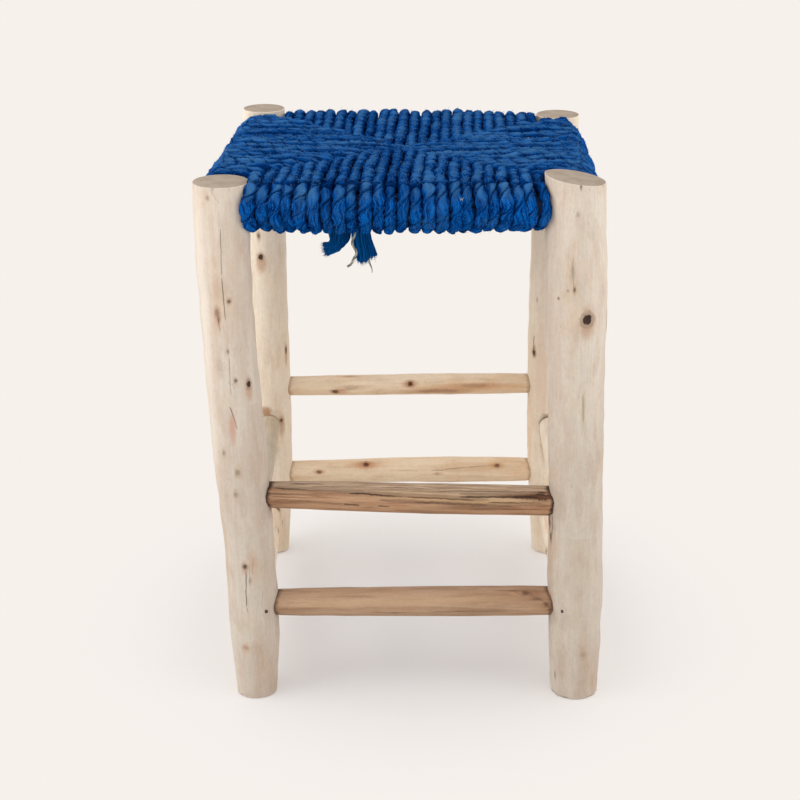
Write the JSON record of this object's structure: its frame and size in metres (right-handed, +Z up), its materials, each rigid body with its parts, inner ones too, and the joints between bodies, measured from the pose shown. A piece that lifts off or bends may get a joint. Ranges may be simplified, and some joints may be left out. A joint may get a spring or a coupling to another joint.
{
  "type": "stool",
  "caption": "Stool of debarked round poles with a twisted cord seat wound over its frame in triangles.",
  "frame": {"origin": "On the floor, in the middle of the stool's outer box.", "axes": "+Z up through the seat, -Y out of the front, +X to the right as seen from the front."},
  "size_m": [0.3544, 0.3417, 0.4869],
  "materials": {
    "pale_wood": "bare, debarked and sanded",
    "tan_wood": "bare, smoothed",
    "dark_wood": "bare, rough split and weathered",
    "blue_cord": "matt, two-ply twist with loose fibres",
    "grey_twine": "matt, twisted",
    "nail_steel": "dull, darkened"
  },
  "bodies": {
    "root": {"leg_front_left": "pale_wood", "leg_front_right": "pale_wood", "leg_back_left": "pale_wood", "leg_back_right": "pale_wood", "rail_front": "pale_wood", "rail_back": "pale_wood", "rail_left": "pale_wood", "rail_right": "pale_wood", "stretcher_front_upper": "dark_wood", "stretcher_front_lower": "tan_wood", "stretcher_back_upper": "pale_wood", "stretcher_back_lower": "pale_wood", "stretcher_left_upper": "pale_wood", "stretcher_left_lower": "pale_wood", "stretcher_right_upper": "pale_wood", "stretcher_right_lower": "pale_wood", "nail_front_lower_at_front_left": "nail_steel", "nail_front_lower_at_front_right": "nail_steel", "nail_back_lower_at_back_left": "nail_steel", "nail_back_lower_at_back_right": "nail_steel", "nail_left_lower_at_front_left": "nail_steel", "nail_left_lower_at_back_left": "nail_steel", "nail_right_lower_at_front_right": "nail_steel", "nail_right_lower_at_back_right": "nail_steel", "seat_cord": "blue_cord", "cord_end_left": "blue_cord", "cord_end_right": "blue_cord", "core_twine": "grey_twine"}
  },
  "joints": []
}
